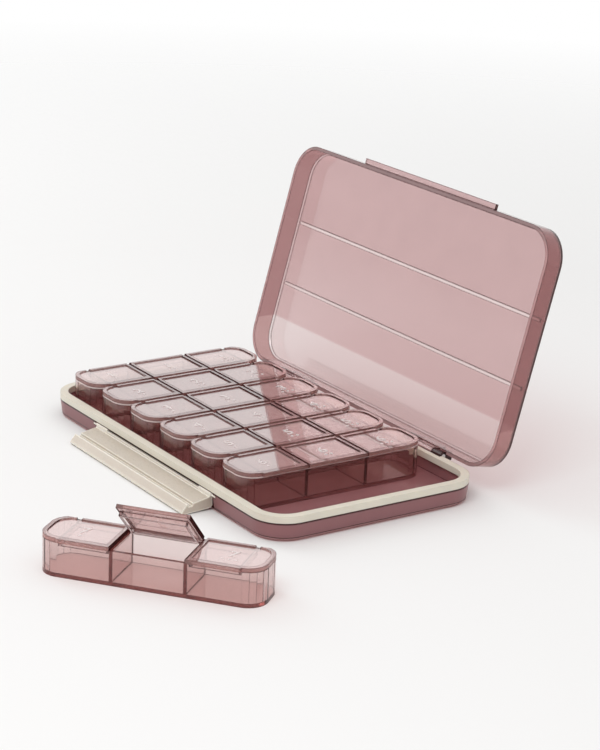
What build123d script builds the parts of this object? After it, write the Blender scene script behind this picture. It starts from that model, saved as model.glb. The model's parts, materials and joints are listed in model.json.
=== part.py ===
from build123d import *
import math
import os

# Weekly pill organizer: a shallow case with a sealed rim, a deep hinged lid and a long
# latch flap, holding seven daily boxes of three lidded compartments each.
# Millimetres. X runs along the row of boxes, Y along each box, Z up. The origin is the
# centre of the case's underside. The latch is on the -Y side, the lid's hinge on +Y.

# Daily boxes
DAYS = 7
BOX_GAP = 2.2
BOX_W = 22.8
BOX_L = 88.6
BOX_H = 15.6
BOX_CORNER_R = 8.0
ROOM_CORNER_SIDES = 4
BOX_WALL = 1.2
BOX_FLOOR = 1.2
DIVIDER_SPACING = 29.2
DIVIDER_T = 1.2

# Box lids
LID_T = 1.6
LID_SEAT_GAP = 0.1
LID_SIDE_GAP = 0.3
LID_BORDER = 1.8
LID_RECESS = 0.5
LIP_OUT = 0.9
PLUG_DEPTH = 2.0
PLUG_WALL = 1.0
PLUG_GAP = 0.5

# Snap hinge of a box lid: a rod on four posts, and a channel that clips over it
CHANNEL_HALF = 1.1
CHANNEL_BEVEL = 0.65
CHANNEL_CLEAR = 0.2
ROD_R = 0.55
ROD_SIDES = 8
ROD_CLEAR = 0.05
POST_W = 0.8
POST_L = 1.6

# Case base
SIDE_ROOM = 2.0
END_ROOM = 3.6
CORNER_ROOM = 2.9
WALL_TOP = 8.0
WALL_LEAN = 1.0
CASE_FLOOR = 2.6
FOOT_CHAMFER = 1.0
RIM_W = 3.6
SEAL_H = 2.8
SEAL_LEG = 0.8
TONGUE_T = 1.6
TONGUE_H = 1.55
SEAL_FIT = 0.05

# Case lid
CASE_LID_GAP = 0.2
CASE_LID_HEADROOM = 0.7
CASE_LID_WALL = 1.6
CASE_LID_DRAFT = 3.0
CASE_LID_EDGE = 1.6
CASE_LID_OPEN = 105.0
STIFFENER_T = 1.4
STIFFENER_H = 0.7
STIFFENER_END_GAP = 2.8

# Hinge of the case lid
HINGE_OUT = 1.0
HINGE_BELOW_RIM = 0.4
HINGE_R = 2.0
HINGE_SIDES = 12
HINGE_CLEAR = 0.35
HINGE_STATION_X = 50.0
HINGE_EAR = 6.0
HINGE_MID = 14.0
HINGE_END_GAP = 0.3
PIN_R = 0.9
PIN_RUN_CLEAR = 0.05
PIN_HOLD_CLEAR = 0.02
STOP_GAP = 0.3
STOP_REACH = 4.6
BRACKET_FOOT = 2.8
BRACKET_LIP = 2.0

# Latch flap and its pocket in the front wall
LATCH_L = 94.0
LATCH_END_GAP = 1.5
LATCH_AXIS_IN = 0.6
LATCH_R = 1.0
LATCH_CLEAR = 0.1
LATCH_DROOP = 2.0
LATCH_REACH = 13.9
LATCH_BACK = 0.3
LATCH_TOE = 5.9
LATCH_HEEL = 5.6
LATCH_SHOULDER = 0.85
LATCH_FACE = 1.9
LATCH_GROOVE = 3.0
LATCH_TIP = 4.4
LATCH_WALL = 1.6
LATCH_CORE = 6.5
GROOVE_LOW = 8.9
GROOVE_HIGH = 10.7
GROOVE_SLANT = 0.3
RIDGE_W = 0.4
LATCH_BEVEL = 0.5
LATCH_KNUCKLE_L = 9.0
TRUNNION_R = 0.6
TRUNNION_L = 2.0
TRUNNION_CLEAR = 0.05
TRUNNION_END_GAP = 0.3
POCKET_DEEP = 3.2
POCKET_BACK = 1.4
POCKET_LOW = 1.4
POCKET_LINTEL = 0.3
CATCH_OUT = 2.1
CATCH_H = 1.4

# The box that is taken out and lies in front of the case
LOOSE_RIGHT = 6.2
LOOSE_AHEAD = 54.0
LOOSE_TURN = -51.2
LOOSE_LID_OPEN = 42.0

# How far a cutter runs past what it cuts, and a joined shape into its neighbour
CUT = 1.0
MERGE = 0.2

BAY_HALF = (DAYS - 1) / 2
BOX_PITCH = BOX_W + BOX_GAP
TRAY_H = BOX_H - LID_T - LID_SEAT_GAP
LID_UNDER = BOX_H - LID_T
BOX_AXIS_X = CHANNEL_HALF - BOX_W / 2
BOX_AXIS_Z = BOX_H - CHANNEL_HALF
CASE_L = 2 * (BAY_HALF * BOX_PITCH + BOX_W / 2 + SIDE_ROOM + RIM_W)
CASE_W = BOX_L + 2 * (END_ROOM + RIM_W)
CASE_CORNER_R = BOX_CORNER_R + CORNER_ROOM + RIM_W
RIM_TOP = WALL_TOP + SEAL_H
CASE_LID_Z = RIM_TOP + CASE_LID_GAP
CASE_LID_ROOF = CASE_FLOOR + BOX_H + CASE_LID_HEADROOM + STIFFENER_H
CASE_LID_H = CASE_LID_ROOF + CASE_LID_WALL - CASE_LID_Z
HINGE_Y = CASE_W / 2 + HINGE_OUT
HINGE_Z = RIM_TOP - HINGE_BELOW_RIM
POCKET_HALF = LATCH_L / 2 + LATCH_END_GAP
POCKET_Y = POCKET_DEEP - CASE_W / 2
POCKET_TOP = WALL_TOP - POCKET_LINTEL
LATCH_Y = LATCH_AXIS_IN - CASE_W / 2
LATCH_AXIS_Z = POCKET_TOP - LATCH_R - LATCH_CLEAR
LOOSE_X = CASE_L / 2 + LOOSE_RIGHT
LOOSE_Y = -CASE_W / 2 - LOOSE_AHEAD


def block(x0, x1, y0, y1, z0, z1):
    """A box between two opposite corners."""
    centre = ((x0 + x1) / 2, (y0 + y1) / 2, (z0 + z1) / 2)
    return Pos(*centre) * Box(x1 - x0, y1 - y0, z1 - z0)


def rounded(length, width, radius, z0, height, taper=0.0):
    """A rounded rectangle raised from z0, or lowered where the height is negative."""
    outline = RectangleRounded(length, width, radius)
    side = 1 if height > 0 else -1
    body = extrude(outline, abs(height), dir=(0, 0, side), taper=taper)
    return Pos(0, 0, z0) * body


def many_sided(length, width, radius):
    """A rectangle whose corners are rounded in a few short sides."""
    points = []
    for corner, (side_x, side_y) in enumerate(((1, 1), (-1, 1), (-1, -1), (1, -1))):
        x, y = side_x * (length / 2 - radius), side_y * (width / 2 - radius)
        for step in range(ROOM_CORNER_SIDES + 1):
            angle = math.pi / 2 * (corner + step / ROOM_CORNER_SIDES)
            points.append((x + radius * math.cos(angle), y + radius * math.sin(angle)))
    return make_face(Polyline(*points, close=True))


def rod_x(radius, x0, x1, y, z):
    """A round bar along X."""
    return Pos((x0 + x1) / 2, y, z) * Rot(0, 90, 0) * Cylinder(radius, x1 - x0)


def barrel_x(radius, x0, x1, y, z):
    """A bar of many sides along X."""
    face = Plane.YZ * Pos(y, z) * RegularPolygon(radius, HINGE_SIDES)
    return Pos(x0, 0, 0) * extrude(face, x1 - x0, dir=(1, 0, 0))


def prism_x(points, x0, x1):
    """A Y-Z outline extended along X."""
    face = Plane.YZ * make_face(Polyline(*points, close=True))
    return Pos(x0, 0, 0) * extrude(face, x1 - x0, dir=(1, 0, 0))


def prism_y(face, y0, y1):
    """A face in X and Z, measured from a box's hinge axis, extended along Y."""
    upright = Plane.XZ * Pos(BOX_AXIS_X, BOX_AXIS_Z) * face
    return Pos(0, y0, 0) * extrude(upright, y1 - y0, dir=(0, 1, 0))


def turned(shape, axis_y, axis_z, degrees):
    """Turns a shape about an axis along X."""
    return Pos(0, axis_y, axis_z) * Rot(degrees, 0, 0) * Pos(0, -axis_y, -axis_z) * shape


# Daily boxes, built in their own frame: the hinge is on -X, the bottom at Z = 0


def lid_spans():
    """The Y range of each of a box's three lids, from front to back."""
    inner = DIVIDER_SPACING / 2
    half_gap = LID_SIDE_GAP / 2
    return {
        "front": (-BOX_L / 2, -inner - half_gap),
        "middle": (half_gap - inner, inner - half_gap),
        "back": (inner + half_gap, BOX_L / 2),
    }


def straight_span(span):
    """The part of a lid's Y range where the box's sides are straight."""
    limit = BOX_L / 2 - BOX_CORNER_R
    return max(span[0], -limit), min(span[1], limit)


def post_places():
    """The middles of the four posts that carry a box's hinge rod."""
    low, high = straight_span((-BOX_L, BOX_L))
    inner = DIVIDER_SPACING / 2
    return low + POST_L / 2, -inner, inner, high - POST_L / 2


def channel_span(span):
    """The Y range of a lid's channel, between the two posts beside it."""
    low, high = (y for y in post_places() if span[0] - POST_L < y < span[1] + POST_L)
    return low + POST_L / 2 + CHANNEL_CLEAR, high - POST_L / 2 - CHANNEL_CLEAR


def channel_section():
    """The channel: a bevelled square with a square way for the rod, open below in front."""
    size, room = 2 * CHANNEL_HALF, 2 * (ROD_R + ROD_CLEAR)
    section = Rectangle(size, size)
    section = chamfer(section.vertices().group_by(Axis.X)[0], CHANNEL_BEVEL)
    section -= Rectangle(room, room)
    return section - Pos(CHANNEL_HALF / 2, -CHANNEL_HALF / 2) * Rectangle(CHANNEL_HALF, CHANNEL_HALF)


def box_tray():
    """A daily box with two dividers and the rod that its three lids turn on."""
    tray = rounded(BOX_W, BOX_L, BOX_CORNER_R, 0, TRAY_H)
    plan = many_sided(BOX_W - 2 * BOX_WALL, BOX_L - 2 * BOX_WALL, BOX_CORNER_R - BOX_WALL)
    room = Pos(0, 0, BOX_FLOOR) * extrude(plan, BOX_H)
    for side in (-1, 1):
        y = side * DIVIDER_SPACING / 2
        room -= block(-BOX_W, BOX_W, y - DIVIDER_T / 2, y + DIVIDER_T / 2, 0, 2 * BOX_H)
    tray -= room
    low, high = straight_span((-BOX_L, BOX_L))
    swing = CHANNEL_HALF + CHANNEL_CLEAR
    tray -= block(-BOX_W, BOX_AXIS_X + swing, low, high, BOX_AXIS_Z - swing, BOX_H)
    x0, x1 = BOX_AXIS_X - POST_W / 2, BOX_AXIS_X + POST_W / 2
    for y in post_places():
        y0, y1 = y - POST_L / 2, y + POST_L / 2
        tray += block(x0, x1, y0, y1, BOX_AXIS_Z - swing - MERGE, BOX_AXIS_Z)
    return tray + prism_y(RegularPolygon(ROD_R, ROD_SIDES), low, high)


def strip(span, inset=0):
    """The band of a box's length that one lid takes up."""
    low, high = span
    return Pos(0, (low + high) / 2) * Rectangle(2 * BOX_W, high - low - 2 * inset)


def box_lid(span):
    """A lid with a raised border, a thumb lip, a plug and the channel of its hinge."""
    plan = RectangleRounded(BOX_W, BOX_L, BOX_CORNER_R) & strip(span)
    low, high = straight_span(span)
    lid = Pos(0, 0, LID_UNDER) * extrude(plan, LID_T)
    lid -= block(-BOX_W, BOX_AXIS_X, -BOX_L, BOX_L, 0, 2 * BOX_H)
    lid += block(BOX_W / 2 - LIP_OUT, BOX_W / 2 + LIP_OUT, low, high, LID_UNDER, BOX_H)
    panel = many_sided(
        BOX_W - 2 * LID_BORDER, BOX_L - 2 * LID_BORDER, BOX_CORNER_R - LID_BORDER
    ) & strip(span, LID_BORDER)
    lid -= Pos(0, 0, BOX_H - LID_RECESS) * extrude(panel, LID_T)
    lid += box_lid_plug(span)
    front = BOX_AXIS_X + CHANNEL_HALF
    half = POST_L / 2 + CHANNEL_CLEAR
    for y in post_places():
        lid -= block(-BOX_W, front + CHANNEL_CLEAR, y - half, y + half, 0, 2 * BOX_H)
    y0, y1 = channel_span(span)
    lid -= block(-BOX_W, front, y0, y1, 0, 2 * BOX_H)
    return lid + prism_y(channel_section(), y0, y1)


def box_lid_plug(span):
    """The rim under a lid that fits into its compartment."""
    low, high = straight_span(span)
    divider = DIVIDER_T / 2 + PLUG_GAP - LID_SIDE_GAP / 2
    y0 = low + (divider if low == span[0] else PLUG_GAP)
    y1 = high - (divider if high == span[1] else PLUG_GAP)
    x0 = BOX_AXIS_X + CHANNEL_HALF + PLUG_GAP
    x1 = BOX_W / 2 - BOX_WALL - PLUG_GAP
    z0 = LID_UNDER - PLUG_DEPTH
    plug = block(x0, x1, y0, y1, z0, LID_UNDER + MERGE)
    return plug - block(
        x0 + PLUG_WALL, x1 - PLUG_WALL, y0 + PLUG_WALL, y1 - PLUG_WALL, z0 - CUT, LID_UNDER
    )


# Case


def seal_outline(inset, z0, height):
    """The case's plan, drawn in from its outer face."""
    return rounded(
        CASE_L - 2 * inset, CASE_W - 2 * inset, CASE_CORNER_R - inset, z0, height
    )


def hinge_stations():
    """The X ranges of each hinge of the case lid: left ear, lid knuckle, right ear."""
    for x in (-HINGE_STATION_X, HINGE_STATION_X):
        mid = HINGE_MID / 2
        inner = mid + HINGE_END_GAP
        outer = inner + HINGE_EAR
        yield (x - outer, x - inner), (x - mid, x + mid), (x + inner, x + outer)


def hinge_clearance(x0, x1):
    """The square notch that a hinge of the case lid turns in."""
    room = HINGE_R + HINGE_CLEAR
    return block(x0, x1, HINGE_Y - room, CASE_W, HINGE_Z - room, HINGE_Z + room)


def lid_underside(depth):
    """Y and Z of the open lid's back wall, at a depth from its rim, seen from the hinge."""
    lean = math.tan(math.radians(CASE_LID_DRAFT))
    turn = math.radians(CASE_LID_OPEN)
    y = -HINGE_OUT - lean * depth
    z = HINGE_BELOW_RIM + CASE_LID_GAP + depth
    return (
        y * math.cos(turn) + z * math.sin(turn),
        -y * math.sin(turn) + z * math.cos(turn),
    )


def hinge_ear(x0, x1):
    """A bracket on the base's back wall that holds the pin and stops the open lid."""
    inner = HINGE_Y - HINGE_R
    near_y, near_z = lid_underside(HINGE_R)
    far_y, far_z = lid_underside(STOP_REACH - HINGE_OUT)
    points = [
        (inner, BRACKET_FOOT),
        (HINGE_Y + far_y, HINGE_Z - BRACKET_LIP),
        (HINGE_Y + far_y, HINGE_Z + far_z - STOP_GAP),
        (HINGE_Y + near_y, HINGE_Z + near_z - STOP_GAP),
        (HINGE_Y, HINGE_Z),
        (inner, WALL_TOP),
    ]
    ear = prism_x(points, x0, x1) + barrel_x(HINGE_R, x0, x1, HINGE_Y, HINGE_Z)
    return ear - rod_x(PIN_R + PIN_HOLD_CLEAR, x0 - CUT, x1 + CUT, HINGE_Y, HINGE_Z)


def base_tray():
    """The case's base, with its latch pocket and hinge ears."""
    draft = math.degrees(math.atan(WALL_LEAN / WALL_TOP))
    base = rounded(CASE_L, CASE_W, CASE_CORNER_R, WALL_TOP, -WALL_TOP, draft)
    base = chamfer(base.edges().group_by(Axis.Z)[0], FOOT_CHAMFER)
    base += seal_outline(SEAL_LEG + SEAL_FIT, WALL_TOP - CUT, TONGUE_H + CUT)
    room = seal_outline(SEAL_LEG + TONGUE_T, CASE_FLOOR, RIM_TOP)
    wall = POCKET_HALF + POCKET_BACK
    room -= block(-wall, wall, -CASE_W, POCKET_Y + POCKET_BACK, 0, WALL_TOP)
    base -= room
    base -= block(-POCKET_HALF, POCKET_HALF, -CASE_W, POCKET_Y, POCKET_LOW, POCKET_TOP)
    hole = POCKET_HALF + TRUNNION_L
    base -= rod_x(TRUNNION_R + TRUNNION_CLEAR, -hole, hole, LATCH_Y, LATCH_AXIS_Z)
    for left, middle, right in hinge_stations():
        base -= hinge_clearance(left[0], right[1])
        base += hinge_ear(*left)
        base += hinge_ear(*right)
    return base


def seal_ring():
    """The soft band pushed over the tongue on the base's wall."""
    ring = seal_outline(0, WALL_TOP, RIM_TOP - WALL_TOP)
    ring -= seal_outline(RIM_W, 0, 2 * RIM_TOP)
    slot = seal_outline(SEAL_LEG, 0, WALL_TOP + TONGUE_H + SEAL_FIT)
    slot -= seal_outline(SEAL_LEG + TONGUE_T, 0, RIM_TOP)
    ring -= slot
    notch = HINGE_Y - HINGE_R - HINGE_CLEAR
    for left, middle, right in hinge_stations():
        x0, x1 = left[0] - HINGE_END_GAP, right[1] + HINGE_END_GAP
        ring -= hinge_clearance(x0, x1)
        ring -= block(x0, x1, notch, CASE_W, 0, HINGE_Z)
    return ring


def lid_knuckle(x0, x1):
    """The lid's knuckle and the web that joins it to the back wall."""
    wall = CASE_W / 2 - CASE_LID_WALL / 2
    reach = HINGE_Y + HINGE_R
    points = [
        (HINGE_Y, HINGE_Z),
        (reach, HINGE_Z),
        (reach, CASE_LID_Z + HINGE_R / 2),
        (CASE_W / 2, CASE_LID_Z + CASE_LID_H / 2),
        (wall - HINGE_OUT / 2, CASE_LID_Z + CASE_LID_H / 2),
        (wall, CASE_LID_Z),
    ]
    knuckle = prism_x(points, x0, x1) + barrel_x(HINGE_R, x0, x1, HINGE_Y, HINGE_Z)
    return knuckle - rod_x(PIN_R + PIN_RUN_CLEAR, x0 - CUT, x1 + CUT, HINGE_Y, HINGE_Z)


def case_lid_closed():
    """The lid shut on the seal: a shell with two stiffeners, a latch bead and knuckles."""
    lid = rounded(CASE_L, CASE_W, CASE_CORNER_R, CASE_LID_Z, CASE_LID_H, CASE_LID_DRAFT)
    lid = chamfer(lid.edges().group_by(Axis.Z)[-1], CASE_LID_EDGE)
    room = rounded(
        CASE_L - 2 * CASE_LID_WALL,
        CASE_W - 2 * CASE_LID_WALL,
        CASE_CORNER_R - CASE_LID_WALL,
        CASE_LID_Z,
        CASE_LID_H - CASE_LID_WALL,
        CASE_LID_DRAFT,
    )
    room_edge = CASE_LID_EDGE - CASE_LID_WALL * (2 - math.sqrt(2))
    room = chamfer(room.edges().group_by(Axis.Z)[-1], room_edge)
    z0, z1 = CASE_LID_ROOF - STIFFENER_H, CASE_LID_ROOF + CUT
    end = CASE_L / 2 - CASE_LID_WALL - STIFFENER_END_GAP
    for side in (-1, 1):
        y = side * DIVIDER_SPACING / 2
        y0, y1 = y - STIFFENER_T / 2, y + STIFFENER_T / 2
        room -= block(-end, end, y0, y1, z0, z1)
    catch_z = LATCH_AXIS_Z + (GROOVE_LOW + GROOVE_HIGH) / 2
    lid += block(
        -LATCH_L / 2,
        LATCH_L / 2,
        -CASE_W / 2 - CATCH_OUT,
        2 * CASE_LID_WALL - CASE_W / 2,
        catch_z - CATCH_H / 2,
        catch_z + CATCH_H / 2,
    )
    lid -= room
    for left, middle, right in hinge_stations():
        lid -= hinge_clearance(left[0] - HINGE_END_GAP, right[1] + HINGE_END_GAP)
        lid += lid_knuckle(*middle)
    return lid


def hinge_pin(station):
    """The steel pin of one hinge, as long as its two ears and the knuckle together."""
    left, middle, right = station
    return rod_x(PIN_R, left[0], right[1], HINGE_Y, HINGE_Z)


def latch_points(pairs):
    """Y and Z of the closed flap's outline, from its distances up and inward of the axis."""
    return [(LATCH_Y + inward, LATCH_AXIS_Z + up) for up, inward in pairs]


def latch_flap_closed():
    """The flap stood up against the front: a hollow wedge with a ridge, a hook and a lip."""
    brow = POCKET_TOP - LATCH_AXIS_Z + LATCH_CLEAR
    hook = GROOVE_HIGH + GROOVE_SLANT
    wedge = [
        (-LATCH_BACK, LATCH_CLEAR),
        (brow / 2, LATCH_CLEAR),
        (brow, -LATCH_SHOULDER),
        (GROOVE_LOW - GROOVE_SLANT - RIDGE_W, -LATCH_FACE),
        (GROOVE_LOW - GROOVE_SLANT, -LATCH_FACE),
        (GROOVE_LOW, -LATCH_GROOVE),
        (GROOVE_HIGH, -LATCH_GROOVE),
        (hook, -LATCH_FACE),
        (hook + RIDGE_W, -LATCH_FACE),
        (LATCH_REACH - LATCH_BEVEL / 2, -LATCH_TIP),
        (LATCH_REACH, -LATCH_TIP - LATCH_BEVEL),
        (LATCH_REACH, LATCH_BEVEL - LATCH_TOE),
        (LATCH_REACH - LATCH_BEVEL, -LATCH_TOE),
        (LATCH_BEVEL, -LATCH_HEEL),
        (-LATCH_BACK, LATCH_R - LATCH_HEEL),
    ]
    core = [
        (-CUT, -LATCH_SHOULDER - LATCH_WALL),
        (LATCH_CORE, -LATCH_FACE - LATCH_WALL),
        (LATCH_CORE, LATCH_WALL - LATCH_HEEL - LATCH_BEVEL / 2),
        (-CUT, LATCH_WALL - LATCH_HEEL),
    ]
    flap = prism_x(latch_points(wedge), -LATCH_L / 2, LATCH_L / 2)
    half = LATCH_L / 2 - LATCH_KNUCKLE_L
    flap -= prism_x(latch_points(core), -half, half)
    for side in (-1, 1):
        end = side * LATCH_L / 2
        near = side * half
        flap += barrel_x(LATCH_R, min(end, near), max(end, near), LATCH_Y, LATCH_AXIS_Z)
        tip = side * (POCKET_HALF + TRUNNION_L - TRUNNION_END_GAP)
        flap += barrel_x(TRUNNION_R, min(near, tip), max(near, tip), LATCH_Y, LATCH_AXIS_Z)
    return flap


def write(shape, name):
    shape.label = name
    export_step(shape, os.path.join("parts", name + ".step"))


def main():
    os.makedirs("parts", exist_ok=True)
    write(base_tray(), "base_tray")
    write(seal_ring(), "seal_ring")
    write(turned(case_lid_closed(), HINGE_Y, HINGE_Z, -CASE_LID_OPEN), "case_lid")
    write(turned(latch_flap_closed(), LATCH_Y, LATCH_AXIS_Z, 90 + LATCH_DROOP), "latch_flap")
    for side, station in zip(("left", "right"), hinge_stations()):
        write(hinge_pin(station), "lid_hinge_pin_" + side)
    tray = box_tray()
    lids = {name: box_lid(span) for name, span in lid_spans().items()}
    lifted = Pos(BOX_AXIS_X, 0, BOX_AXIS_Z) * Rot(0, -LOOSE_LID_OPEN, 0)
    lifted *= Pos(-BOX_AXIS_X, 0, -BOX_AXIS_Z)
    for day in range(1, DAYS + 1):
        loose = day == DAYS
        place = Pos((day - 1 - BAY_HALF) * BOX_PITCH, 0, CASE_FLOOR)
        if loose:
            place = Pos(LOOSE_X, LOOSE_Y, 0) * Rot(0, 0, LOOSE_TURN)
        write(place * tray, f"day_{day}_tray")
        for name, lid in lids.items():
            open_here = loose and name == "middle"
            swing = place * lifted if open_here else place
            write(swing * lid, f"day_{day}_lid_{name}")


main()
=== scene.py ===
import json
import math

import bmesh
import bpy
from mathutils import Matrix, Vector


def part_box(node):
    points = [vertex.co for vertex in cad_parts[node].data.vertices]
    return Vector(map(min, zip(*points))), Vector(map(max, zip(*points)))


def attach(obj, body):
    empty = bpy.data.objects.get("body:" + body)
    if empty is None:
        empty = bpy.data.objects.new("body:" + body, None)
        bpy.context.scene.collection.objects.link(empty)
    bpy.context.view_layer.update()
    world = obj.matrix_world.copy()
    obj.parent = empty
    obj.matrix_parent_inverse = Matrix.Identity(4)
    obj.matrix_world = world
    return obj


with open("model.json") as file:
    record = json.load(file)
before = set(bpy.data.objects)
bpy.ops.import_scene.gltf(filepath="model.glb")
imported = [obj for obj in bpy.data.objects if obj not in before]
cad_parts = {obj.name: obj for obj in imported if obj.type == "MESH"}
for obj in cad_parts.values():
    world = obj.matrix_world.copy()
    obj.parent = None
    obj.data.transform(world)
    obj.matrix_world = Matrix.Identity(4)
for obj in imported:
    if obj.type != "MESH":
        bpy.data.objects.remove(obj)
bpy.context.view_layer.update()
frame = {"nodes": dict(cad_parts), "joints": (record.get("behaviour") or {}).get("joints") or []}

MM = 0.001

NODES = frame["nodes"]
JOINTS = {joint["name"]: joint for joint in frame["joints"]}
DAYS = 7


def corners(node):
    """A node's lowest and highest corners at rest, to the micrometre."""
    return [[round(part, 6) for part in corner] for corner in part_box(node)]


# Each lid's place along its box
LIDS = {"front": -1, "middle": 0, "back": 1}

# The ends of each lid that lie beside another lid: True for its back end, False for its front
INNER_SIDES = {"front": (True,), "middle": (True, False), "back": (False,)}

# Camera, solved from the photograph: where it stands, where it looks and its lens
EYE = Vector((0.77117, -0.50337, 0.33855))
AZIMUTH = math.radians(56.68)
ELEVATION = math.radians(18.21)
ROLL = math.radians(1.94)
FOCAL_PX = 2285.06
PHOTO_WIDTH_PX = 600
SHIFT_PX = 35
SENSOR_MM = 36.0
NEAREST_SEEN = 0.05
FARTHEST_SEEN = 20.0

# Marks that faces or points carry for their materials
# Rib faces of the case lid that take a painted highlight
RIB_HIGHLIGHT = "raised"
# Faces of the case lid that take painted shade
SHADED_UPRIGHT = "upright"
RIM = "rim"
# Faces of the latch pocket, painted dark as shade
SHADED_POCKET = "recess"
OUTSIDE = "outside"
LOW_GAP = "low_gap"
HIGH_GAP = "high_gap"

# How directly a face looks along a direction to be taken as facing it, or as upright
FACES_DIRECTION = 0.9
FACES_ALONG_BOX = 0.95
LOOKS_ASIDE = 0.5

# Softened edges, how strong and wide the painted shade lines beside sharp edges are, and how wide
# the latch's painted highlight lines are
SOFT_EDGE = 0.25 * MM
BEVEL_SAMPLES = 4
EDGE_SHADE_STRENGTH = 0.97
EDGE_SHADE_LINE = 0.42 * MM
LID_SHADE_LINE = 0.32 * MM
LATCH_HIGHLIGHT_LINE = 0.85 * MM

# The turn of the softened normal, as a cosine, at which a line is full and at which it ends
LINE_FULL = 0.97
LINE_ENDS = 0.9995

# The painted shade strip of a box lid beside each gap, and the mark of an end that has no gap
GAP_SHADE_LINE = 0.32 * MM
GAPLESS = 1.0

# Painted light on the open case lid near its hinge: paler up to a line, and then fading out
# between these heights
PAINTED_LIGHT_LINE = 28.5 * MM
PAINTED_LIGHT_LINE_SOFT = 0.5 * MM
PAINTED_LIGHT_LOW = 30 * MM
PAINTED_LIGHT_HIGH = 75 * MM

# Bands on the base's wall, from the table up: a lighter foot, a line of painted shade above it,
# and painted shade higher up
FOOT_TOP = 1.4 * MM
FOOT_SHADE_LINE = 0.35 * MM
SHADE_LOW = 7.2 * MM
BAND_SOFT = 0.15 * MM

# The latch's pocket: its half length, its reach behind the base's front, its top over the axis
POCKET_HALF = 48.6 * MM
POCKET_NEAR = 0.2 * MM
POCKET_DEEP = 3.3 * MM
POCKET_ABOVE_AXIS = 1.2 * MM

# A tray's corner, how far in from its outline a face counts as outside, and its painted highlight
# seam
TRAY_CORNER_R = 8.0 * MM
OUTSIDE_DEEP = 0.6 * MM
HIGHLIGHT_SEAM_LOW = 15.95 * MM
HIGHLIGHT_SEAM_SHARE = 0.6

# From one box lid to the next, and how deep a panel lies in its border
LID_PITCH = 29.3 * MM
PANEL_RECESS = 0.5 * MM

# How near a panel's level its faces lie, and how far below it there is only the plug
PANEL_NEAR = 0.05 * MM
PLUG_BELOW = 1.15 * MM

# All seven boxes are alike: a tray's half size, and a panel's middle from its lid's hinge
TRAY_LOW, TRAY_HIGH = corners("day_1_tray")
TRAY_HALF_X = (TRAY_HIGH[0] - TRAY_LOW[0]) / 2
TRAY_HALF_Y = (TRAY_HIGH[1] - TRAY_LOW[1]) / 2
LID_HINGE = JOINTS["day_1_lid_front_hinge"]["pos_m"]
PANEL_OUT = TRAY_LOW[0] + TRAY_HALF_X - LID_HINGE[0]
PANEL_UP = corners("day_1_lid_front")[1][2] - PANEL_RECESS - LID_HINGE[2]

# Raised figures on the box lids
FIGURE_SIZE = 7.5 * MM
FIGURE_RISE = 0.12 * MM
FIGURE_BEVEL = 0.05 * MM
FIGURE_STEPS = 4
DOT_PITCH = 2.6 * MM
DOT_BELOW = 4.6 * MM
DOT_R = 0.65 * MM
DOT_FLAT = 0.35
DOT_SUBDIVISIONS = 2

# The stiffeners of the case lid: their place, half thickness and distance from its ends
STIFFENER_Y = 14.6 * MM
STIFFENER_NEAR = 0.75 * MM
STIFFENER_END = 3.8 * MM

# Below the shut case lid's top: how deep its roof ends, and how deep its rim lies at least
ROOF_DEEP = 1.65 * MM
RIM_DEEP = 7.2 * MM

# How cloudy the case lid's rim is, and how strong the painted highlight on its ribs is
RIM_HAZE_SHARE = 0.35
RIB_HIGHLIGHT_SHARE = 0.6

# Colours, linear: what clear walls let through, their haze, and those of the other materials
WALL_SKIN = (0.95, 0.90, 0.89)
WALL_DEPTH = (1.2 * MM, (0.92, 0.86, 0.855))
WALL_HAZE = (0.72, 0.44, 0.43)
BORDER_SKIN = (0.81, 0.65, 0.64)
BORDER_HAZE = (0.74, 0.46, 0.44)
# Painted shade on the sides of the box lids
SIDE_SHADE_SKIN = (0.68, 0.47, 0.45)
SIDE_SHADE_HAZE = (0.48, 0.26, 0.24)
PANEL_SKIN = (0.84, 0.74, 0.73)
PANEL_HAZE = (0.87, 0.60, 0.58)
CASE_LID_SKIN = (0.74, 0.56, 0.56)
CASE_LID_DEPTH = (1.6 * MM, (0.90, 0.82, 0.82))
# Painted light on the case lid near its hinge: the full tone up to a line, then one that fades
# out
CASE_LID_PAINTED_LIGHT = (0.99, 0.965, 0.96)
CASE_LID_PAINTED_HALF_LIGHT = (0.83, 0.68, 0.68)
CASE_LID_HAZE = (0.70, 0.45, 0.45)
# Painted shade on the case lid's upright walls and the ribs' downward faces, lighter where the
# painted light lies
CASE_LID_WALL_SHADE = (0.50, 0.30, 0.30)
CASE_LID_WALL_SHADE_LIT = (0.64, 0.44, 0.43)
BASE_SKIN = (0.50, 0.28, 0.29)
BASE_DEPTH = (2.0 * MM, (0.78, 0.62, 0.62))
BASE_HAZE = (0.36, 0.165, 0.175)
FOOT_HAZE = (0.52, 0.27, 0.27)
FIGURE_HAZE = (0.95, 0.92, 0.91)
# Painted highlight, on the case lid's ribs and along the top of the trays in the case
PAINTED_HIGHLIGHT_COLOUR = (0.96, 0.86, 0.84)
# Painted shade: the near-black of the lines at edges and gaps, the lids' gap ends, the latch
# pocket and the base's bands
PAINTED_SHADE_COLOUR = (0.04, 0.008, 0.008)
SEAL_COLOUR = (0.72, 0.68, 0.58)
LATCH_COLOUR = (0.56, 0.49, 0.41)
# Painted highlight along the latch's edges
LATCH_HIGHLIGHT = (0.94, 0.90, 0.80)
STEEL_COLOUR = (0.62, 0.61, 0.60)
FLOOR_COLOUR = (0.90, 0.90, 0.90)
WORLD_COLOUR = (1.0, 0.99, 0.98)
WHITE = (1, 1, 1)

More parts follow.
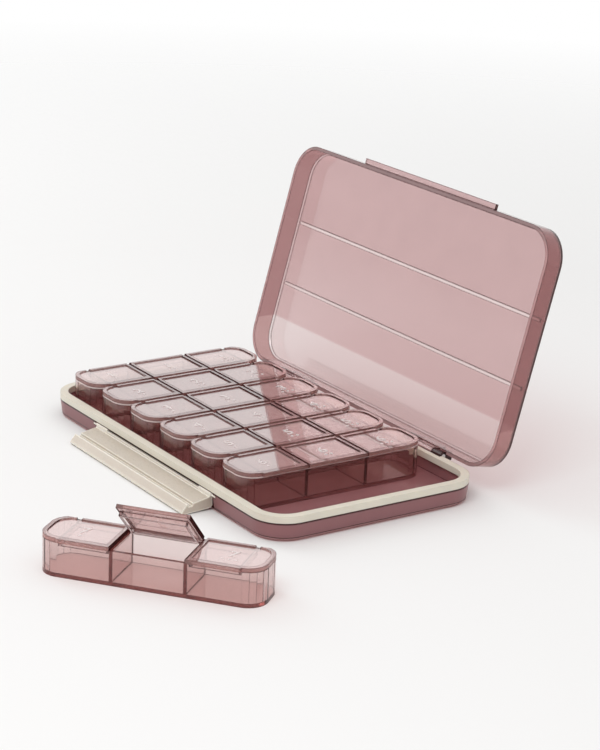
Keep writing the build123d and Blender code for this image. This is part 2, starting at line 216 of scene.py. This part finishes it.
# Grain of the materials: noise scales, and the part of a noise's range that is used
MOTTLE_SCALE = 60.0
WAVE_SCALE = 90.0
FINE_SCALE = 500.0
CREAM_MOTTLE_SCALE = 90.0
CREAM_GRAIN_SCALE = 1800.0
STEEL_LINE_SCALE = 1500.0
STEEL_STRETCH = (0.02, 1.0, 1.0)
NOISE_ROUGHNESS = 0.55
NOISE_LOW = 0.3
NOISE_HIGH = 0.7

# How far the grain spreads each colour or roughness, as shares of its own value
SKIN_SPREAD = (0.97, 1.02)
HAZE_SPREAD = (0.96, 1.03)
CREAM_SPREAD = (0.95, 1.03)
STEEL_SPREAD = (0.9, 1.0)
ROUGHNESS_SPREAD = (0.9, 1.1)
CREAM_ROUGHNESS_SPREAD = (0.85, 1.15)

# How the materials bend, scatter and reflect light
STEEL_ROUGHNESS = (0.22, 0.34)
CLEAR_IOR = 1.46
CREAM_IOR = 1.5
CLOUDY_ROUGHNESS = 0.4
SEAM_ROUGHNESS = 0.3
COAT_ROUGHNESS = 0.02
WAVE_DEPTH = 0.04 * MM
WAVE_STRENGTH = 0.15
GRAIN_STRENGTH = 0.35
CREAM_SUBSURFACE = 0.15
CREAM_SUBSURFACE_RADIUS = (1.2 * MM, 0.9 * MM, 0.6 * MM)
ABSORPTION_ROOM = 1.25

# The floor in metres, and how far from the object it fades into the white backdrop
FLOOR_SIZE = 6.0
FLOOR_DROP = 0.02 * MM
FLOOR_ROUGHNESS = 0.9
FLOOR_SPECULAR = 0.1
FADE_NEAR = 0.35
FADE_FAR = 1.1

# Light: the world's strength, and each lamp's place, target, size in metres and watts
WORLD_STRENGTH = 0.75
LAMPS = {
    "key": ((0.5, -0.7, 1.1), (0.03, -0.03, 0.0), (0.7, 0.5), 5.0),
    "side": ((-0.9, -0.3, 0.6), (0.0, 0.0, 0.02), (0.5, 0.8), 2.5),
}

# How often light may bounce on its way through the many clear walls, and off gloss
CLEAR_BOUNCES = 24
GLOSSY_BOUNCES = 8


class Shader:
    """A small wrapper that keeps material code short."""

    def __init__(self, name):
        self.material = bpy.data.materials.new(name)
        self.material.use_nodes = True
        self.tree = self.material.node_tree
        self.tree.nodes.clear()
        self.output = self.node("ShaderNodeOutputMaterial")

    def node(self, kind, **settings):
        made = self.tree.nodes.new(kind)
        for key, value in settings.items():
            setattr(made, key, value)
        return made

    def set(self, node, **values):
        for key, value in values.items():
            node.inputs[key.replace("_", " ")].default_value = value
        return node

    def link(self, a, b):
        self.tree.links.new(a, b)

    def surface(self, shown):
        self.link(shown, self.output.inputs["Surface"])

    def principled(self, colour=None, **values):
        """A Principled body, with a plain colour or one that is linked later."""
        body = self.set(self.node("ShaderNodeBsdfPrincipled"), **values)
        if colour:
            body.inputs["Base Color"].default_value = (*colour, 1)
        return body

    def noise(self, scale, detail=3.0, stretch=(1.0, 1.0, 1.0)):
        place = self.node("ShaderNodeTexCoord")
        scaled_place = self.node("ShaderNodeMapping")
        scaled_place.inputs["Scale"].default_value = stretch
        self.link(place.outputs["Object"], scaled_place.inputs["Vector"])
        noise = self.node("ShaderNodeTexNoise")
        self.set(noise, Scale=scale, Detail=detail, Roughness=NOISE_ROUGHNESS)
        self.link(scaled_place.outputs["Vector"], noise.inputs["Vector"])
        return noise.outputs["Fac"]

    def ranged(self, socket, low, high, from_low=NOISE_LOW, from_high=NOISE_HIGH):
        spread = self.node("ShaderNodeMapRange")
        spread.inputs["From Min"].default_value = from_low
        spread.inputs["From Max"].default_value = from_high
        spread.inputs["To Min"].default_value = low
        spread.inputs["To Max"].default_value = high
        self.link(socket, spread.inputs["Value"])
        return spread.outputs["Result"]

    def blended(self, factor, a, b):
        """A blend of two colours, of which each may be a socket."""
        mix = self.node("ShaderNodeMix", data_type="RGBA")
        for key, colour in (("A", a), ("B", b)):
            if isinstance(colour, tuple):
                mix.inputs[key].default_value = (*colour, 1)
            else:
                self.link(colour, mix.inputs[key])
        self.link(factor, mix.inputs["Factor"])
        return mix.outputs["Result"]

    def mottled(self, mottle, colour, spread):
        """A colour spread lighter and darker by a noise."""
        low, high = spread
        return self.blended(mottle, scaled(colour, low), scaled(colour, high))

    def layered(self, factor, below, above):
        """Two shaders mixed by a socket or a plain share."""
        mix = self.node("ShaderNodeMixShader")
        if isinstance(factor, float):
            mix.inputs["Fac"].default_value = factor
        else:
            self.link(factor, mix.inputs["Fac"])
        self.link(below, mix.inputs[1])
        self.link(above, mix.inputs[2])
        return mix.outputs["Shader"]

    def combined(self, operation, a, b):
        """A product or the like of a socket and another socket or a plain number."""
        result = self.node("ShaderNodeMath", operation=operation)
        self.link(a, result.inputs[0])
        if isinstance(b, float):
            result.inputs[1].default_value = b
        else:
            self.link(b, result.inputs[1])
        return result.outputs["Value"]

    def bump(self, height, distance, strength, normal):
        bump = self.node("ShaderNodeBump")
        self.set(bump, Strength=strength, Distance=distance)
        self.link(height, bump.inputs["Height"])
        self.link(normal, bump.inputs["Normal"])
        return bump.outputs["Normal"]

    def softened_edges(self, radius):
        bevel = self.node("ShaderNodeBevel", samples=BEVEL_SAMPLES)
        bevel.inputs["Radius"].default_value = radius
        return bevel.outputs["Normal"]

    def edge_lines(self, radius):
        """A mask of the narrow strips beside the sharp edges."""
        flat = self.node("ShaderNodeNewGeometry")
        turn = self.node("ShaderNodeVectorMath", operation="DOT_PRODUCT")
        self.link(self.softened_edges(radius), turn.inputs[0])
        self.link(flat.outputs["Normal"], turn.inputs[1])
        return self.ranged(turn.outputs["Value"], 1.0, 0.0, LINE_FULL, LINE_ENDS)

    def height(self, low, soft):
        """Rises from 0 to 1 above a height of the resting object."""
        place = self.node("ShaderNodeTexCoord")
        split = self.node("ShaderNodeSeparateXYZ")
        self.link(place.outputs["Object"], split.inputs["Vector"])
        return self.ranged(split.outputs["Z"], 0.0, 1.0, low, low + soft)

    def marked(self, name):
        """The mark that a face or point carries."""
        return self.node("ShaderNodeAttribute", attribute_name=name).outputs["Fac"]


def scaled(colour, factor):
    return tuple(min(1.0, part * factor) for part in colour)


def clear_tone(s, mottle, skin, extra):
    """What the clear body lets through, with painted light and painted shade on the case lid, and
    the latch pocket painted dark as shade.
    """
    tone = s.mottled(mottle, skin, SKIN_SPREAD)
    if extra == "case lid":
        # Painted light: the case lid is paler near its hinge
        above_painted_light = s.height(PAINTED_LIGHT_LINE, PAINTED_LIGHT_LINE_SOFT)
        tone = s.blended(s.height(PAINTED_LIGHT_LOW, PAINTED_LIGHT_HIGH - PAINTED_LIGHT_LOW), CASE_LID_PAINTED_HALF_LIGHT, tone)
        tone = s.blended(above_painted_light, CASE_LID_PAINTED_LIGHT, tone)
        # Painted shade on the upright walls, lighter within the painted light
        wall = s.blended(above_painted_light, CASE_LID_WALL_SHADE_LIT, CASE_LID_WALL_SHADE)
        tone = s.blended(s.marked(SHADED_UPRIGHT), tone, wall)
    if extra == "base":
        # The latch pocket painted dark as shade
        tone = s.blended(s.marked(SHADED_POCKET), tone, PAINTED_SHADE_COLOUR)
    return tone


def cloudy_tone(s, mottle, haze, extra):
    """The colour of the cloudy share; on the base, a lighter foot, painted shade in a line above
    it and higher up, and the latch pocket painted dark as shade.
    """
    tone = s.mottled(mottle, haze, HAZE_SPREAD)
    if extra == "base":
        # Painted shade on the cloudy share above a height
        tone = s.blended(s.height(SHADE_LOW, BAND_SOFT), tone, PAINTED_SHADE_COLOUR)
        # A line of painted shade above the lighter foot
        tone = s.blended(s.height(FOOT_TOP + FOOT_SHADE_LINE, BAND_SOFT), PAINTED_SHADE_COLOUR, tone)
        tone = s.blended(s.height(FOOT_TOP, BAND_SOFT), FOOT_HAZE, tone)
        # The latch pocket painted dark as shade
        tone = s.blended(s.marked(SHADED_POCKET), tone, PAINTED_SHADE_COLOUR)
    return tone


def with_ribs_and_rim(s, shown, cloudy):
    """A painted highlight on the ribs, and a cloudier rim, over the case lid's body."""
    # Painted highlight on the ribs
    rib_highlight = s.principled(PAINTED_HIGHLIGHT_COLOUR, Roughness=SEAM_ROUGHNESS)
    raised = s.combined("MULTIPLY", s.marked(RIB_HIGHLIGHT), RIB_HIGHLIGHT_SHARE)
    shown = s.layered(raised, shown, rib_highlight.outputs["BSDF"])
    rim = s.combined("MULTIPLY", s.marked(RIM), RIM_HAZE_SHARE)
    return s.layered(rim, shown, cloudy.outputs["BSDF"])


def with_dark_lines(s, shown, edge, line, extra):
    """Painted shade as dark lines over a body: beside its sharp edges, and beside the gaps of a
    box lid.
    """
    dark = s.node("ShaderNodeBsdfDiffuse")
    dark.inputs["Color"].default_value = (*PAINTED_SHADE_COLOUR, 1)
    # Painted shade beside the sharp edges
    edges = s.combined("MULTIPLY", s.edge_lines(line), edge)
    shown = s.layered(edges, shown, dark.outputs["BSDF"])
    # Painted shade strips beside the gaps between box lids
    if extra == "box lid":
        for name in (LOW_GAP, HIGH_GAP):
            beside = s.ranged(s.marked(name), 1.0, 0.0, GAP_SHADE_LINE, GAP_SHADE_LINE + BAND_SOFT)
            shown = s.layered(beside, shown, dark.outputs["BSDF"])
    return shown


def with_light_seam(s, shown):
    """A painted highlight seam along the top of a tray's outer wall, for the trays in the case.
    """
    # Painted highlight along the top of the wall
    seam = s.principled(PAINTED_HIGHLIGHT_COLOUR, Roughness=SEAM_ROUGHNESS)
    outside = s.combined("MULTIPLY", s.marked(OUTSIDE), HIGHLIGHT_SEAM_SHARE)
    where = s.combined("MULTIPLY", s.height(HIGHLIGHT_SEAM_LOW, BAND_SOFT), outside)
    return s.layered(where, shown, seam.outputs["BSDF"])


def letting_light_in(s, shown, skin):
    """Lets shadow and diffuse rays pass, tinted by one face, so that the inside is lit."""
    through = s.node("ShaderNodeBsdfTransparent")
    through.inputs["Color"].default_value = (*(math.sqrt(part) for part in skin), 1)
    rays = s.node("ShaderNodeLightPath")
    either = s.combined("MAXIMUM", rays.outputs["Is Shadow Ray"], rays.outputs["Is Diffuse Ray"])
    return s.layered(either, shown, through.outputs["BSDF"])


def absorb(s, thickness, tint):
    """Fills the body with an absorption that gives a wall of this thickness this tint.

    The density lies above what the most absorbed colour needs, so that no colour is black.
    """
    takes = [-math.log(part) / thickness for part in tint]
    density = ABSORPTION_ROOM * max(takes)
    inside = s.node("ShaderNodeVolumeAbsorption")
    inside.inputs["Density"].default_value = density
    inside.inputs["Color"].default_value = (*(1 - part / density for part in takes), 1)
    s.link(inside.outputs["Volume"], s.output.inputs["Volume"])


def tinted_plastic(
    name, skin, haze, milk, roughness,
    edge=EDGE_SHADE_STRENGTH, line=EDGE_SHADE_LINE, depth=None, gloss=None, shine=None, extra=None,
):
    """Moulded plastic: a clear tinted body with a cloudy share, and painted shade as dark lines
    at its edges.

    skin is what a wall's two faces let through, haze the cloudy share's own colour and milk
    its amount, edge and line the strength and width of the painted shade lines, depth a thickness
    and the tint that a wall of it gives, gloss the IOR of a clear coat, shine the specular level,
    and extra the piece whose own marks the material reads.
    """
    s = Shader(name)
    mottle = s.ranged(s.noise(MOTTLE_SCALE), 0.0, 1.0)
    low, high = ROUGHNESS_SPREAD
    rough = s.ranged(s.noise(FINE_SCALE, detail=2.0), roughness * low, roughness * high)
    waves = s.noise(WAVE_SCALE, detail=1.0)
    normal = s.bump(waves, WAVE_DEPTH, WAVE_STRENGTH, s.softened_edges(SOFT_EDGE))
    clear = s.principled(IOR=CLEAR_IOR, Transmission_Weight=1.0)
    cloudy = s.principled(IOR=CLEAR_IOR, Roughness=CLOUDY_ROUGHNESS)
    s.link(clear_tone(s, mottle, skin, extra), clear.inputs["Base Color"])
    s.link(rough, clear.inputs["Roughness"])
    s.link(cloudy_tone(s, mottle, haze, extra), cloudy.inputs["Base Color"])
    for body in (clear, cloudy):
        s.link(normal, body.inputs["Normal"])
        if shine is not None:
            s.set(body, Specular_IOR_Level=shine)
        if gloss:
            s.set(body, Coat_Weight=1.0, Coat_Roughness=COAT_ROUGHNESS, Coat_IOR=gloss)
    shown = s.layered(milk, clear.outputs["BSDF"], cloudy.outputs["BSDF"])
    if extra == "case lid":
        shown = with_ribs_and_rim(s, shown, cloudy)
    if edge:
        shown = with_dark_lines(s, shown, edge, line, extra)
    # A painted highlight along the top of the trays in the case
    if extra == "tray":
        shown = with_light_seam(s, shown)
    s.surface(letting_light_in(s, shown, skin))
    if depth:
        absorb(s, *depth)
    return s.material


def opaque_plastic(name, colour, roughness, grain, edge, lines=None):
    """Moulded cream plastic or rubber: fine grain, faint mottling and softened edges.

    grain is the depth of the bump, edge the radius of the edges, and lines the colour of painted
    highlight lines beside them.
    """
    s = Shader(name)
    body = s.principled(IOR=CREAM_IOR, Subsurface_Weight=CREAM_SUBSURFACE, Subsurface_Scale=1.0)
    s.set(body, Subsurface_Radius=CREAM_SUBSURFACE_RADIUS)
    mottle = s.ranged(s.noise(CREAM_MOTTLE_SCALE, detail=4.0), 0.0, 1.0)
    tone = s.mottled(mottle, colour, CREAM_SPREAD)
    if lines:
        # Painted highlight lines beside the edges
        tone = s.blended(s.edge_lines(LATCH_HIGHLIGHT_LINE), tone, lines)
    s.link(tone, body.inputs["Base Color"])
    fine = s.noise(CREAM_GRAIN_SCALE, detail=2.0)
    low, high = CREAM_ROUGHNESS_SPREAD
    s.link(s.ranged(fine, roughness * low, roughness * high), body.inputs["Roughness"])
    normal = s.bump(fine, grain, GRAIN_STRENGTH, s.softened_edges(edge))
    s.link(normal, body.inputs["Normal"])
    s.surface(body.outputs["BSDF"])
    return s.material


def drawn_steel(name):
    """Drawn wire: bright, with fine lines along the pin."""
    s = Shader(name)
    body = s.principled(Metallic=1.0)
    lines = s.noise(STEEL_LINE_SCALE, detail=2.0, stretch=STEEL_STRETCH)
    tone = s.mottled(s.ranged(lines, 0.0, 1.0), STEEL_COLOUR, STEEL_SPREAD)
    s.link(tone, body.inputs["Base Color"])
    s.link(s.ranged(lines, *STEEL_ROUGHNESS), body.inputs["Roughness"])
    s.surface(body.outputs["BSDF"])
    return s.material


def dress(node, *materials):
    """Gives a CAD node its materials."""
    mesh = NODES[node].data
    mesh.materials.clear()
    for material in materials:
        mesh.materials.append(material)


def dress_box_lid(day, lid, looks):
    """Gives the border, panel, gaps, plug and sides of a box lid their own materials, with
    painted shade on the gap ends and the sides.
    """
    dress(f"day_{day}_lid_{lid}", *looks.values())
    slots = {part: index for index, part in enumerate(looks)}
    to_panel = lid_frame(day, lid).inverted()
    turn = to_panel.to_3x3()
    for face in NODES[f"day_{day}_lid_{lid}"].data.polygons:
        level = (to_panel @ face.center).z
        facing = turn @ face.normal
        if abs(level) < PANEL_NEAR and facing.z > FACES_DIRECTION:
            face.material_index = slots["panel"]
        elif level < -PLUG_BELOW:
            face.material_index = slots["plug"]
        elif abs(facing.y) > FACES_ALONG_BOX and (facing.y > 0) in INNER_SIDES[lid]:
            face.material_index = slots["gap"]
        elif abs(facing.z) < LOOKS_ASIDE:
            face.material_index = slots["side"]


def mark_gaps(day, lid):
    """Marks how far each point of a box lid lies from the gaps beside its neighbours, for the
    painted shade strips there.
    """
    mesh = NODES[f"day_{day}_lid_{lid}"].data
    to_panel = lid_frame(day, lid).inverted()
    along = [(to_panel @ vertex.co).y for vertex in mesh.vertices]
    low, high = min(along), max(along)
    for name, at_back in ((LOW_GAP, False), (HIGH_GAP, True)):
        mark = mesh.attributes.new(name, "FLOAT", "POINT")
        for index, y in enumerate(along):
            away = high - y if at_back else y - low
            mark.data[index].value = away if at_back in INNER_SIDES[lid] else GAPLESS


def mark_case_lid():
    """Marks the case lid's ribs for a painted highlight, its upright walls and the ribs' downward
    faces for painted shade, and its rim for its material.
    """
    mesh = NODES["case_lid"].data
    for name in (RIB_HIGHLIGHT, SHADED_UPRIGHT, RIM):
        mesh.attributes.new(name, "FLOAT", "FACE")
    joint = JOINTS["case_lid_hinge"]
    pivot = Matrix.Translation(Vector(joint["pos_m"]))
    turn = Matrix.Rotation(math.radians(joint["range_deg"][0]), 4, Vector(joint["axis"]))
    shut = pivot @ turn @ pivot.inverted()
    top = max((shut @ vertex.co).z for vertex in mesh.vertices)
    reach = corners("case_lid")[1][0] - STIFFENER_END
    for face in mesh.polygons:
        x, y, z = shut @ face.center
        beside = abs(abs(y) - STIFFENER_Y)
        facing = (turn.to_3x3() @ face.normal).z
        if beside < STIFFENER_NEAR and z < top - ROOF_DEEP and abs(x) < reach:
            # A rib's downward faces take painted shade, its other faces a painted highlight
            name = SHADED_UPRIGHT if face.normal.z < -LOOKS_ASIDE else RIB_HIGHLIGHT
        elif facing < -FACES_DIRECTION and z < top - RIM_DEEP:
            name = RIM
        # Upright walls take painted shade
        elif abs(facing) < LOOKS_ASIDE:
            name = SHADED_UPRIGHT
        else:
            continue
        mesh.attributes[name].data[face.index].value = 1.0


def mark_tray(day):
    """Marks the outside of a tray's wall, for the painted highlight seam along its top."""
    mesh = NODES[f"day_{day}_tray"].data
    mark = mesh.attributes.new(OUTSIDE, "FLOAT", "FACE")
    # The front lid of every box is shut, so its frame is square to the tray
    to_box = Matrix.Translation((0, -LID_PITCH, 0)) @ lid_frame(day, "front").inverted()
    for face in mesh.polygons:
        x, y, _ = to_box @ face.center
        across = max(abs(x) - TRAY_HALF_X + TRAY_CORNER_R, 0)
        along = max(abs(y) - TRAY_HALF_Y + TRAY_CORNER_R, 0)
        if math.hypot(across, along) > TRAY_CORNER_R - OUTSIDE_DEEP:
            mark.data[face.index].value = 1.0


def mark_base():
    """Marks the faces of the latch's pocket, which the base's material paints dark as shade."""
    mesh = NODES["base_tray"].data
    mark = mesh.attributes.new(SHADED_POCKET, "FLOAT", "FACE")
    front = corners("base_tray")[0][1]
    top = JOINTS["latch_hinge"]["pos_m"][2] + POCKET_ABOVE_AXIS
    for face in mesh.polygons:
        x, y, z = face.center
        inside = abs(x) < POCKET_HALF and POCKET_NEAR < y - front < POCKET_DEEP
        if inside and FOOT_TOP - BAND_SOFT < z < top:
            mark.data[face.index].value = 1.0


def box_lid_looks():
    """The materials of a box lid's parts. What is no other part takes the first, the border."""
    return {
        "border": tinted_plastic(
            "lid_border", BORDER_SKIN, BORDER_HAZE, milk=0.15, roughness=0.04,
            line=LID_SHADE_LINE, gloss=1.6, extra="box lid",
        ),
        "panel": tinted_plastic(
            "lid_panel", PANEL_SKIN, PANEL_HAZE, milk=0.28, roughness=0.08,
            line=LID_SHADE_LINE, gloss=2.5,
        ),
        # The ends that face a neighbour lid, painted near-black as shade
        "gap": tinted_plastic(
            "lid_gap_shade", BORDER_SKIN, PAINTED_SHADE_COLOUR, milk=0.97, roughness=0.3,
            edge=0.0, shine=0.0,
        ),
        "plug": tinted_plastic("lid_plug", WALL_SKIN, WALL_HAZE, milk=0.02, roughness=0.03),
        # The lid's sides, with painted shade
        "side": tinted_plastic(
            "lid_side_shade", SIDE_SHADE_SKIN, SIDE_SHADE_HAZE, milk=0.35, roughness=0.05,
            edge=0.8, line=LID_SHADE_LINE,
        ),
    }


def dress_case():
    """Dresses the base, its seal, the case lid, the latch and the two hinge pins."""
    base = tinted_plastic(
        "tinted_base", BASE_SKIN, BASE_HAZE, milk=0.65, roughness=0.12,
        depth=BASE_DEPTH, extra="base",
    )
    case_lid = tinted_plastic(
        "tinted_case_lid", CASE_LID_SKIN, CASE_LID_HAZE, milk=0.04, roughness=0.05,
        depth=CASE_LID_DEPTH, extra="case lid",
    )
    seal = opaque_plastic(
        "cream_seal", SEAL_COLOUR, roughness=0.5, grain=0.02 * MM, edge=0.5 * MM
    )
    latch = opaque_plastic(
        "cream_latch", LATCH_COLOUR, roughness=0.3, grain=0.01 * MM, edge=0.18 * MM,
        lines=LATCH_HIGHLIGHT,
    )
    steel = drawn_steel("drawn_steel")
    dress("base_tray", base)
    mark_base()
    dress("seal_ring", seal)
    dress("case_lid", case_lid)
    mark_case_lid()
    dress("latch_flap", latch)
    dress("lid_hinge_pin_left", steel)
    dress("lid_hinge_pin_right", steel)


def dress_boxes():
    """Dresses the seven trays and their lids, and adds the figures on the lids."""
    wall = tinted_plastic(
        "tinted_wall", WALL_SKIN, WALL_HAZE, milk=0.03, roughness=0.03,
        depth=WALL_DEPTH, extra="tray",
    )
    frosted = tinted_plastic(
        "frosted_figure", PANEL_SKIN, FIGURE_HAZE, milk=0.6, roughness=0.3, edge=0.0
    )
    looks = box_lid_looks()
    for day in range(1, DAYS + 1):
        dress(f"day_{day}_tray", wall)
        mark_tray(day)
        for lid in LIDS:
            dress_box_lid(day, lid, looks)
            mark_gaps(day, lid)
    add_lid_figures(frosted)


def lid_frame(day, lid):
    """The middle of a lid's panel at rest: X towards its lip, Y along the box, Z out of it."""
    joint = JOINTS[f"day_{day}_lid_{lid}_hinge"]
    axis = Vector(joint["axis"])
    turn = math.atan2(axis.x, -axis.y)
    ajar = math.radians(-joint["range_deg"][0])
    along = LIDS[lid] * LID_PITCH
    return (
        Matrix.Translation(Vector(joint["pos_m"]))
        @ Matrix.Rotation(turn, 4, "Z")
        @ Matrix.Rotation(-ajar, 4, "Y")
        @ Matrix.Translation(Vector((PANEL_OUT, along, PANEL_UP)))
    )


def number_mesh(day, name):
    """A raised day number with bevelled edges."""
    curve = bpy.data.curves.new(name, "FONT")
    curve.body = str(day)
    curve.size = FIGURE_SIZE
    curve.align_x = curve.align_y = "CENTER"
    curve.extrude = FIGURE_RISE
    curve.bevel_depth = FIGURE_BEVEL
    curve.resolution_u = FIGURE_STEPS
    holder = bpy.data.objects.new(name + "_outline", curve)
    bpy.context.scene.collection.objects.link(holder)
    bpy.context.view_layer.update()
    mesh = bpy.data.meshes.new_from_object(holder)
    bpy.data.objects.remove(holder)
    mesh.name = name
    return mesh


def add_dots(mesh, dots):
    """Adds a row of flat dots under a number."""
    work = bmesh.new()
    work.from_mesh(mesh)
    for k in range(dots):
        across = (k - (dots - 1) / 2) * DOT_PITCH
        place = Matrix.Translation((across, -DOT_BELOW, 0)) @ Matrix.Diagonal((1, 1, DOT_FLAT, 1))
        bmesh.ops.create_icosphere(
            work, subdivisions=DOT_SUBDIVISIONS, radius=DOT_R, matrix=place
        )
    work.to_mesh(mesh)
    work.free()


def add_lid_figures(material):
    """Puts a box's day number, and one, two or three dots for the lid's place, on each lid."""
    read_from_lip = Matrix.Rotation(math.radians(90), 4, "Z")
    for day in range(1, DAYS + 1):
        for dots, lid in enumerate(LIDS, 1):
            name = f"day_{day}_{lid}_figure"
            mesh = number_mesh(day, name)
            add_dots(mesh, dots)
            mesh.transform(lid_frame(day, lid) @ read_from_lip)
            mesh.materials.append(material)
            figure = bpy.data.objects.new(name, mesh)
            bpy.context.scene.collection.objects.link(figure)
            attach(figure, f"day_{day}_lid_{lid}")


def floor_material():
    """A pale floor that holds the shadow and fades into the white backdrop."""
    s = Shader("pale_floor")
    body = s.principled(
        FLOOR_COLOUR, Roughness=FLOOR_ROUGHNESS, Specular_IOR_Level=FLOOR_SPECULAR
    )
    place = s.node("ShaderNodeTexCoord")
    reach = s.node("ShaderNodeVectorMath", operation="LENGTH")
    s.link(place.outputs["Object"], reach.inputs[0])
    away = s.ranged(reach.outputs["Value"], 0.0, 1.0, FADE_NEAR, FADE_FAR)
    beyond = s.node("ShaderNodeBsdfTransparent")
    s.surface(s.layered(away, body.outputs["BSDF"], beyond.outputs["BSDF"]))
    return s.material


def add_floor():
    mesh = bpy.data.meshes.new("floor")
    half = FLOOR_SIZE / 2
    corners = [(-half, -half, 0), (half, -half, 0), (half, half, 0), (-half, half, 0)]
    mesh.from_pydata(corners, [], [(0, 1, 2, 3)])
    mesh.materials.append(floor_material())
    floor = bpy.data.objects.new("floor", mesh)
    bpy.context.scene.collection.objects.link(floor)
    floor.location.z = -FLOOR_DROP


def backdrop(tree, colour, strength):
    shade = tree.nodes.new("ShaderNodeBackground")
    shade.inputs["Color"].default_value = (*colour, 1)
    shade.inputs["Strength"].default_value = strength
    return shade.outputs["Background"]


def add_world():
    """Soft light all round, which the camera, gloss and clear plastic see as plain white."""
    world = bpy.data.worlds.new("studio")
    world.use_nodes = True
    tree = world.node_tree
    tree.nodes.clear()
    out = tree.nodes.new("ShaderNodeOutputWorld")
    rays = tree.nodes.new("ShaderNodeLightPath")
    mix = tree.nodes.new("ShaderNodeMixShader")
    sees_white = rays.outputs["Is Camera Ray"]
    for kind in ("Is Glossy Ray", "Is Transmission Ray"):
        either = tree.nodes.new("ShaderNodeMath")
        either.operation = "MAXIMUM"
        tree.links.new(sees_white, either.inputs[0])
        tree.links.new(rays.outputs[kind], either.inputs[1])
        sees_white = either.outputs["Value"]
    tree.links.new(sees_white, mix.inputs["Fac"])
    tree.links.new(backdrop(tree, WORLD_COLOUR, WORLD_STRENGTH), mix.inputs[1])
    tree.links.new(backdrop(tree, WHITE, 1.0), mix.inputs[2])
    tree.links.new(mix.outputs["Shader"], out.inputs["Surface"])
    bpy.context.scene.world = world


def add_lamp(name, place, target, size, watts):
    light = bpy.data.lights.new(name, "AREA")
    light.shape = "RECTANGLE"
    light.size, light.size_y = size
    light.energy = watts
    lamp = bpy.data.objects.new(name, light)
    bpy.context.scene.collection.objects.link(lamp)
    lamp.location = place
    away = Vector(place) - Vector(target)
    lamp.rotation_euler = away.to_track_quat("Z", "Y").to_euler()


def camera_turn():
    """The camera's rotation from its azimuth, elevation and roll."""
    level = math.cos(ELEVATION)
    right = Vector((math.cos(AZIMUTH), math.sin(AZIMUTH), 0))
    back = Vector((math.sin(AZIMUTH) * level, -math.cos(AZIMUTH) * level, math.sin(ELEVATION)))
    up = back.cross(right)
    rolled_right = math.cos(ROLL) * right + math.sin(ROLL) * up
    rolled_up = math.cos(ROLL) * up - math.sin(ROLL) * right
    return Matrix((rolled_right, rolled_up, back)).transposed().to_4x4()


def add_camera():
    data = bpy.data.cameras.new("camera")
    data.sensor_fit = "HORIZONTAL"
    data.sensor_width = SENSOR_MM
    data.lens = FOCAL_PX * SENSOR_MM / PHOTO_WIDTH_PX
    data.clip_start, data.clip_end = NEAREST_SEEN, FARTHEST_SEEN
    data.shift_x = SHIFT_PX / PHOTO_WIDTH_PX
    camera = bpy.data.objects.new("camera", data)
    bpy.context.scene.collection.objects.link(camera)
    camera.matrix_world = Matrix.Translation(EYE) @ camera_turn()
    bpy.context.scene.camera = camera


def set_rendering():
    """Plain colours, and enough bounces for light to pass the many clear walls."""
    bpy.context.scene.view_settings.view_transform = "Standard"
    paths = bpy.context.scene.cycles
    paths.max_bounces = CLEAR_BOUNCES
    paths.transmission_bounces = CLEAR_BOUNCES
    paths.transparent_max_bounces = CLEAR_BOUNCES
    paths.glossy_bounces = GLOSSY_BOUNCES


dress_case()
dress_boxes()
add_floor()
add_world()
for lamp_name, lamp_settings in LAMPS.items():
    add_lamp(lamp_name, *lamp_settings)
add_camera()
set_rendering()
